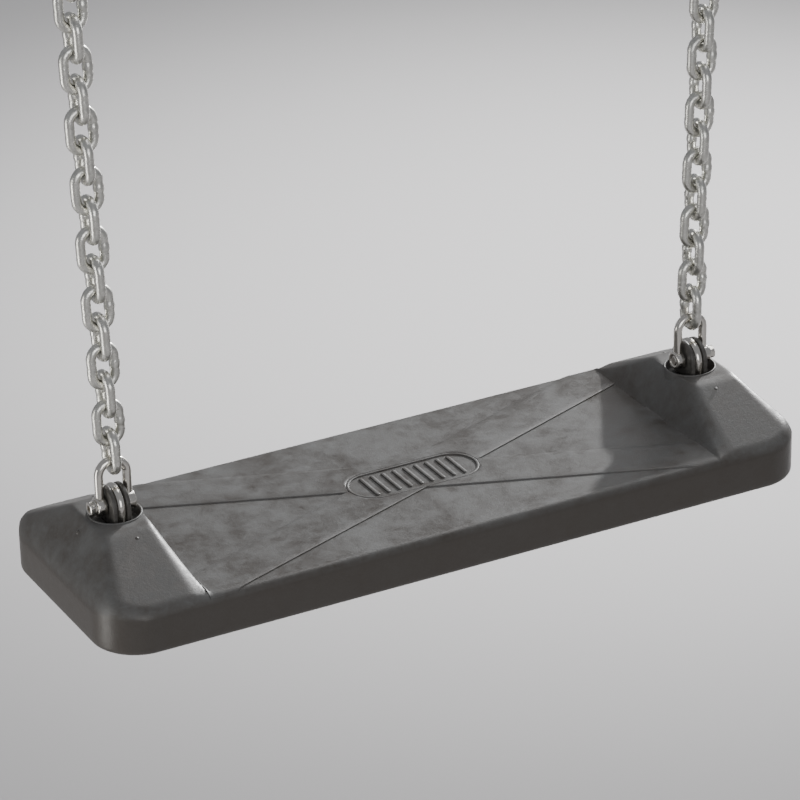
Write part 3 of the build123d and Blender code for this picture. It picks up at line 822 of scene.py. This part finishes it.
def steel_material(metal, groups):
    """Polished stainless steel with faint smears and fine turning marks."""
    material, tree, shader, place = blank_material("polished_steel")
    smear = use_group(tree, groups["cloud"], place, Scale=240.0, Contrast=0.2)
    lines = use_group(tree, groups["scratch"], place, Scale=420.0, Turn=1.2, Amount=0.8)
    darker = tuple(c * 0.82 for c in metal.steel)
    tint = blend_colours(tree, maths(tree, "MULTIPLY", smear, 0.6), tuple(metal.steel), darker)
    tree.links.new(tint, shader.inputs["Base Color"])
    rough = maths(tree, "ADD", maths(tree, "MULTIPLY", smear, 0.10), maths(tree, "MULTIPLY", lines, 0.12))
    tree.links.new(maths(tree, "ADD", rough, 0.11), shader.inputs["Roughness"])
    shader.inputs["Metallic"].default_value = 1.0
    bump(tree, shader, maths(tree, "ADD", lines, smear), 0.12, 0.0001)
    return material


def nylon_material(metal, groups):
    """Black bush nylon, satin, with a little rubbing."""
    material, tree, shader, place = blank_material("bush_nylon")
    rub = use_group(tree, groups["cloud"], place, Scale=300.0, Contrast=0.18)
    grain = use_group(tree, groups["grain"], place, Scale=2600.0, Pits=0.1)
    lighter = tuple(c * 2.4 for c in metal.nylon)
    tree.links.new(blend_colours(tree, rub, tuple(metal.nylon), lighter), shader.inputs["Base Color"])
    tree.links.new(ramp(tree, rub, 0.0, 1.0, 0.32, 0.5), shader.inputs["Roughness"])
    bump(tree, shader, grain, 0.2, 0.00015)
    return material


def alloy_material(groups):
    """Mill-finish aluminium plate with rolling lines."""
    material, tree, shader, place = blank_material("mill_aluminium")
    lines = use_group(tree, groups["scratch"], place, Scale=40.0, Turn=1.57, Amount=0.8)
    cloud = use_group(tree, groups["cloud"], place, Scale=30.0, Contrast=0.2)
    tint = blend_colours(tree, cloud, (0.66, 0.66, 0.67), (0.78, 0.78, 0.79))
    tree.links.new(tint, shader.inputs["Base Color"])
    rough = ramp(tree, maths(tree, "ADD", lines, cloud), 0.0, 1.6, 0.28, 0.5)
    tree.links.new(rough, shader.inputs["Roughness"])
    shader.inputs["Metallic"].default_value = 1.0
    bump(tree, shader, lines, 0.2, 0.0001)
    return material


def floor_material(stage, groups):
    """Pale matt studio floor with a barely visible unevenness."""
    material, tree, shader, place = blank_material("studio_floor")
    cloud = use_group(tree, groups["cloud"], place, Scale=0.7, Contrast=0.35)
    darker = tuple(c * 0.96 for c in stage.floor)
    tree.links.new(blend_colours(tree, cloud, tuple(stage.floor), darker), shader.inputs["Base Color"])
    shader.inputs["Roughness"].default_value = 0.9
    return material


def finish(name):
    """The named finish, made the first time that it is asked for."""
    scene = bpy.context.scene
    made = bpy.data.materials.get(name)
    if made:
        return made
    if "cloudy_patches" not in bpy.data.node_groups:
        cloud_group()
        grain_group()
        scratch_group()
    groups = {key: bpy.data.node_groups[label] for key, label in
              (("cloud", "cloudy_patches"), ("grain", "fine_grain"), ("scratch", "thin_scratches"))}
    board, metal, stage = scene.swing_board, scene.swing_metal, scene.swing_stage
    makers = {
        "moulded_rubber": lambda: rubber_material(board, groups),
        "galvanised_steel": lambda: zinc_material(metal, groups),
        "polished_steel": lambda: steel_material(metal, groups),
        "bush_nylon": lambda: nylon_material(metal, groups),
        "mill_aluminium": lambda: alloy_material(groups),
        "studio_floor": lambda: floor_material(stage, groups),
    }
    return makers[name]()


def refinish(node, name):
    """Gives a frame node that stays visible its finish."""
    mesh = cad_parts[node].data
    mesh.materials.clear()
    mesh.materials.append(finish(name))


# ---------------------------------------------------------------- operators
class SwingBoardOperator(bpy.types.Operator):
    """Makes the rubber board with its shoulders, cups and vent marks"""
    bl_idname = "swing.board"
    bl_label = "Rubber board"

    def execute(self, context):
        board = context.scene.swing_board
        rubber = finish("moulded_rubber")
        shell, worn = board_shell(board)
        add_piece("rubber_board", [shell], "seat", rubber, ["seat_body"], sharp=28.0, worn=worn)
        for label, side in SIDES.items():
            lining = [shifted(cup_lining(board), x=side * EYE_X)]
            add_piece(f"{label}_cup_lining", lining, "seat", rubber)
            add_piece(f"{label}_vent_marks", vent_marks(board, side), "seat", rubber)
        return {"FINISHED"}


class SwingGripOperator(bpy.types.Operator):
    """Makes the raised grip arms, the oval rim and the ribs inside it"""
    bl_idname = "swing.grip"
    bl_label = "Grip pattern"

    def execute(self, context):
        board = context.scene.swing_board
        rubber = finish("moulded_rubber")
        arm = grip_arm(board)
        for label, sx in SIDES.items():
            for place, sy in (("front", -1), ("back", 1)):
                add_piece(f"{place}_{label}_grip_arm", [mirrored(arm, sx, sy)], "seat", rubber)
        low, up = board.slab_height, board.relief
        rim = low_mound(OVAL_HALF_LENGTH, OVAL_HALF_WIDTH, low, up, 0.0006, rim=OVAL_RIM_WIDTH)
        add_piece("oval_rim", [rim], "seat", rubber)
        rib = low_mound(RIB_HALF_LENGTH, RIB_HALF_WIDTH, low, up, 0.0005)
        upright = rib[..., [1, 0, 2]]
        ribs = [shifted(upright, x=(index - RIB_COUNT // 2) * RIB_PITCH) for index in range(RIB_COUNT)]
        add_piece("oval_ribs", ribs, "seat", rubber)
        return {"FINISHED"}


class SwingChainOperator(bpy.types.Operator):
    """Makes every link of both chains"""
    bl_idname = "swing.chains"
    bl_label = "Chains"

    def execute(self, context):
        metal = context.scene.swing_metal
        zinc = finish("galvanised_steel")
        foot = np.array([EYE_X, 0.0, PIN_Z + SHACKLE_HEIGHT])
        head = np.array([TOP_X, 0.0, TOP_PIN_Z - SHACKLE_HEIGHT])
        span = np.linalg.norm(head - foot)
        pitch = (span - 2 * FIRST_LINK_RISE) / (LINKS - 1)
        lean = asin((TOP_X - EYE_X) / span)
        for label, side in SIDES.items():
            for number in range(1, LINKS + 1):
                node = f"{label}_chain_link_{number:02d}"
                seed = number + (100 if side > 0 else 0)
                surface = link_surface(metal, seed)
                if number % 2:
                    surface = surface[..., [1, 0, 2]] * np.array([-1.0, 1, 1])
                surface = shifted(surface, z=FIRST_LINK_RISE + (number - 1) * pitch)
                surface = surface @ leaning(side * lean) + foot * np.array([side, 1, 1])
                add_piece(f"{node}_wire", [surface], f"links_{number:02d}", zinc, [node], sharp=60.0)
        return {"FINISHED"}


class SwingShackleOperator(bpy.types.Operator):
    """Makes the four shackles with their pins"""
    bl_idname = "swing.shackles"
    bl_label = "Shackles"

    def execute(self, context):
        steel = finish("polished_steel")
        bow = bow_surfaces()
        for label, side in SIDES.items():
            for prefix, body, x, pin_z, up in (("", "shackles", EYE_X, PIN_Z, 1.0),
                                               ("top_", "top_shackles", TOP_X, TOP_PIN_Z, -1.0)):
                node = f"{label}_{prefix}shackle"
                parts = [shifted(s * np.array([1.0, 1, up]), x=side * x, z=pin_z) for s in bow]
                add_piece(f"{node}_bar", parts, body, steel, [f"{node}_bow"])
                pin = [shifted(pin_surface(side), x=side * x, z=pin_z)]
                add_piece(f"{node}_pin_and_head", pin, body, steel, [f"{node}_pin"], sharp=25.0)
        return {"FINISHED"}


class SwingEyeOperator(bpy.types.Operator):
    """Makes the eyes and every pair of bush halves"""
    bl_idname = "swing.eyes"
    bl_label = "Eyes and bushes"

    def execute(self, context):
        steel, nylon = finish("polished_steel"), finish("bush_nylon")
        for label, side in SIDES.items():
            eye = [shifted(s, x=side * EYE_X) for s in eye_surfaces(context.scene.swing_board)]
            add_piece(f"{label}_eye_ring", eye, "seat", steel, [f"{label}_eye"])
            for node, body, pin_z in ((f"{label}_eye_bush_halves", "seat", PIN_Z),
                                      (f"{label}_bracket_bush_halves", "beam", TOP_PIN_Z)):
                flanks = body == "seat"
                x = side * (EYE_X if flanks else TOP_X)
                halves = [shifted(s, x=x, z=pin_z) for s in bush_surfaces(flanks)]
                add_piece(f"{node}_turned", halves, body, nylon, [node])
        return {"FINISHED"}


class SwingFixingsOperator(bpy.types.Operator):
    """Gives the brackets, plate, washers, nuts and plugs their finishes"""
    bl_idname = "swing.fixings"
    bl_label = "Brackets and fixings"

    def execute(self, context):
        refinish("insert_plate", "mill_aluminium")
        for label in SIDES:
            refinish(f"{label}_beam_bracket", "galvanised_steel")
            refinish(f"{label}_eye_washer", "galvanised_steel")
            refinish(f"{label}_eye_nut", "galvanised_steel")
            refinish(f"{label}_underside_plug", "bush_nylon")
        return {"FINISHED"}


def add_area_light(name, place, target, size, power, tint=(1.0, 1.0, 1.0)):
    """A rectangular light at a place, turned to face the target."""
    lamp = bpy.data.lights.new(name, "AREA")
    lamp.shape = "RECTANGLE"
    lamp.size, lamp.size_y = size
    lamp.energy = power
    lamp.color = tint
    holder = bpy.data.objects.new(name, lamp)
    holder.location = place
    holder.rotation_euler = (Vector(target) - Vector(place)).to_track_quat("-Z", "Y").to_euler()
    bpy.context.scene.collection.objects.link(holder)


class SwingStageOperator(bpy.types.Operator):
    """Makes the floor, the lights and the camera"""
    bl_idname = "swing.stage"
    bl_label = "Studio"

    def execute(self, context):
        scene = context.scene
        stage = scene.swing_stage
        half = 14.0
        low = -stage.floor_drop
        mesh = bpy.data.meshes.new("studio_floor")
        mesh.from_pydata([(-half, -half, low), (half, -half, low), (half, half, low), (-half, half, low)], [],
                         [(0, 1, 2, 3)])
        mesh.materials.append(finish("studio_floor"))
        floor = bpy.data.objects.new("studio_floor", mesh)
        scene.collection.objects.link(floor)
        self.light(scene, stage)
        self.camera(scene, stage)
        return {"FINISHED"}

    def light(self, scene, stage):
        """Light from all round, a low key light, four soft panels and a wide spot on the floor."""
        world = bpy.data.worlds.new("studio_air")
        world.use_nodes = True
        world.node_tree.nodes["Background"].inputs["Color"].default_value = (0.93, 0.95, 1.0, 1.0)
        world.node_tree.nodes["Background"].inputs["Strength"].default_value = stage.air
        scene.world = world
        sun = bpy.data.lights.new("key_light", "SUN")
        sun.energy = stage.key
        sun.angle = radians(2.5)
        holder = bpy.data.objects.new("key_light", sun)
        holder.rotation_euler = Vector((-0.683, -0.502, -0.262)).to_track_quat("-Z", "Y").to_euler()
        scene.collection.objects.link(holder)
        add_area_light("top_light", (0.8, 0.35, 1.9), (0, 0, 0), (1.0, 0.9), stage.top)
        add_area_light("side_light", (-1.25, 0.11, -0.12), (0, 0, 0.2), (0.34, 0.9), stage.side,
                       (1.0, 0.99, 0.95))
        add_area_light("rim_light", (1.75, 1.3, 0.7), (0, 0, 0.1), (0.8, 2.0), stage.rim)
        pool = bpy.data.lights.new("floor_light", "SPOT")
        pool.energy = stage.pool
        pool.spot_size = radians(70)
        pool.spot_blend = 1.0
        pool.shadow_soft_size = 0.1
        lamp = bpy.data.objects.new("floor_light", pool)
        lamp.location = (1.25, 1.4, 1.2)
        lamp.rotation_euler = Vector((-0.25, 0.0, -1.8)).to_track_quat("-Z", "Y").to_euler()
        scene.collection.objects.link(lamp)
        add_area_light("fill_light", (-0.5, -2.2, 0.6), (0, 0, 0.1), (1.2, 1.2), stage.fill)

    def camera(self, scene, stage):
        """Looks from an azimuth and elevation at a point a little off the origin, rolled about its axis."""
        a, e, r = stage.azimuth, stage.elevation, stage.roll
        back = Vector((sin(a) * cos(e), -cos(a) * cos(e), sin(e)))
        right = Vector((cos(a), sin(a), 0.0))
        up = back.cross(right)
        rolled_right = right * cos(r) + up * sin(r)
        rolled_up = up * cos(r) - right * sin(r)
        aim = rolled_right * stage.aim_right + rolled_up * stage.aim_up
        data = bpy.data.cameras.new("camera")
        data.sensor_width = 36.0
        data.lens = stage.lens
        data.clip_end = 100.0
        camera = bpy.data.objects.new("camera", data)
        turn_matrix = Matrix((rolled_right, rolled_up, back)).transposed().to_4x4()
        camera.matrix_world = Matrix.Translation(aim + back * stage.distance) @ turn_matrix
        scene.collection.objects.link(camera)
        scene.camera = camera


class SwingPanel(bpy.types.Panel):
    """Lists the swing's pieces in the sidebar"""
    bl_idname = "VIEW3D_PT_swing"
    bl_label = "Swing seat"
    bl_space_type = "VIEW_3D"
    bl_region_type = "UI"
    bl_category = "Swing"

    def draw(self, context):
        for operator in OPERATORS:
            self.layout.operator(operator.bl_idname)
        for key in ("swing_board", "swing_metal", "swing_stage"):
            box = self.layout.box()
            settings = getattr(context.scene, key)
            for name in settings.bl_rna.properties.keys():
                if name not in ("rna_type", "name"):
                    box.prop(settings, name)


SETTINGS = {
    "swing_board": SwingBoardSettings,
    "swing_metal": SwingMetalSettings,
    "swing_stage": SwingStageSettings,
}
OPERATORS = (
    SwingBoardOperator, SwingGripOperator, SwingChainOperator, SwingShackleOperator,
    SwingEyeOperator, SwingFixingsOperator, SwingStageOperator,
)


def register():
    for cls in (*SETTINGS.values(), *OPERATORS, SwingPanel):
        bpy.utils.register_class(cls)
    for key, cls in SETTINGS.items():
        setattr(bpy.types.Scene, key, bpy.props.PointerProperty(type=cls))


def unregister():
    for key in SETTINGS:
        delattr(bpy.types.Scene, key)
    for cls in (SwingPanel, *reversed(OPERATORS), *SETTINGS.values()):
        bpy.utils.unregister_class(cls)


def main():
    """Registers the classes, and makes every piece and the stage."""
    register()
    for name in ("board", "grip", "chains", "shackles", "eyes", "fixings", "stage"):
        getattr(bpy.ops.swing, name)()


if __name__ == "__main__":
    main()
